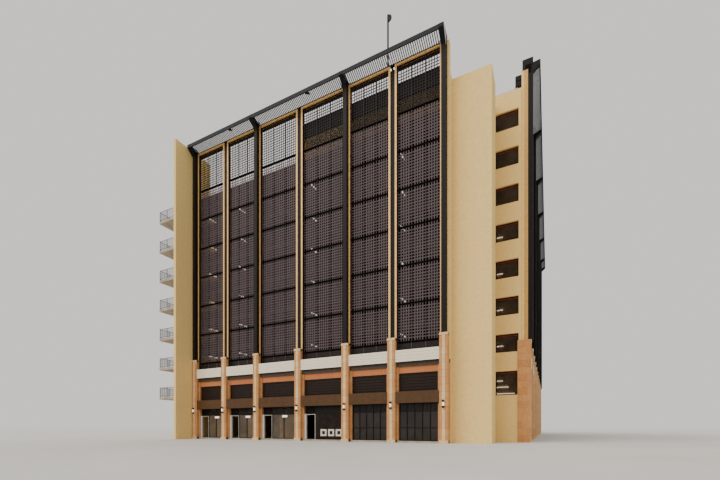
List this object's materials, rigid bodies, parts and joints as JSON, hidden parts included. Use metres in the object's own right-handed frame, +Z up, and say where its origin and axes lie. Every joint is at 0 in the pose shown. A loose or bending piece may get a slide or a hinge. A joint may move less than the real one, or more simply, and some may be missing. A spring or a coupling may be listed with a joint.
{
  "type": "multi storey car park, half scale model",
  "caption": "Multi storey car park with screened parking decks in gold frames, stone street storey, stepped rendered core and a raking roof edge canopy.",
  "frame": {"origin": "on the ground, under the middle pilaster of the street front, on its street face", "axes": "+X along the street front to the right, +Y from the street into the building, +Z up"},
  "size_m": [19.465, 28.388, 18.86],
  "materials": {
    "render": "cream mineral render, wood float finish",
    "concrete": "fair faced concrete, pale grey",
    "stone": "warm sandstone cladding, honed",
    "lintel_stone": "orange sandstone, honed",
    "gold": "gold powder coated metal, satin",
    "dark_metal": "dark bronze powder coat, satin",
    "screen": "brown grey powder coat, satin",
    "band": "pale ribbed sheet metal",
    "fascia": "brown sheet metal, satin",
    "glazing": "dark reflective glass in dark frames",
    "white_frame": "white painted metal",
    "canopy": "grey louvred metal sheet",
    "galvanised": "galvanised steel",
    "lamp": "opal lamp diffuser"
  },
  "bodies": {
    "root": {"ground_slab": "concrete", "mezzanine_deck": "concrete", "first_deck": "concrete", "upper_decks": "concrete", "roof_deck": "concrete", "inner_columns": "concrete", "street_upstands": "concrete", "back_upstands": "concrete", "core_stepped_wall": "render", "core_edge_pier": "render", "core_window_wall": "render", "core_windows": "glazing", "core_handrail": "galvanised", "left_flank_wall": "render", "left_flank_windows": "glazing", "front_fin": "render", "balcony_slabs": "concrete", "balcony_rails": "galvanised", "front_pilasters": "stone", "right_pilasters": "stone", "back_pilasters": "stone", "stone_jambs": "stone", "front_posts": "dark_metal", "right_posts": "dark_metal", "back_posts": "dark_metal", "dark_columns": "dark_metal", "canopies": "canopy", "parapet_bands": "band", "stone_lintels": "lintel_stone", "frame_uprights": "gold", "frame_heads": "gold", "screen_mullions": "screen", "screen_rails": "screen", "shop_glazing": "glazing", "shop_doorways": "white_frame", "fascia_boxes": "fascia", "louvres": "dark_metal", "side_glazing": "glazing", "roof_block_walls": "render", "roof_block_roof": "concrete", "roof_block_fascia": "dark_metal", "roof_box": "dark_metal", "lanterns": "lamp", "lamp_battens": "lamp", "roof_mast": "galvanised"}
  },
  "joints": []
}
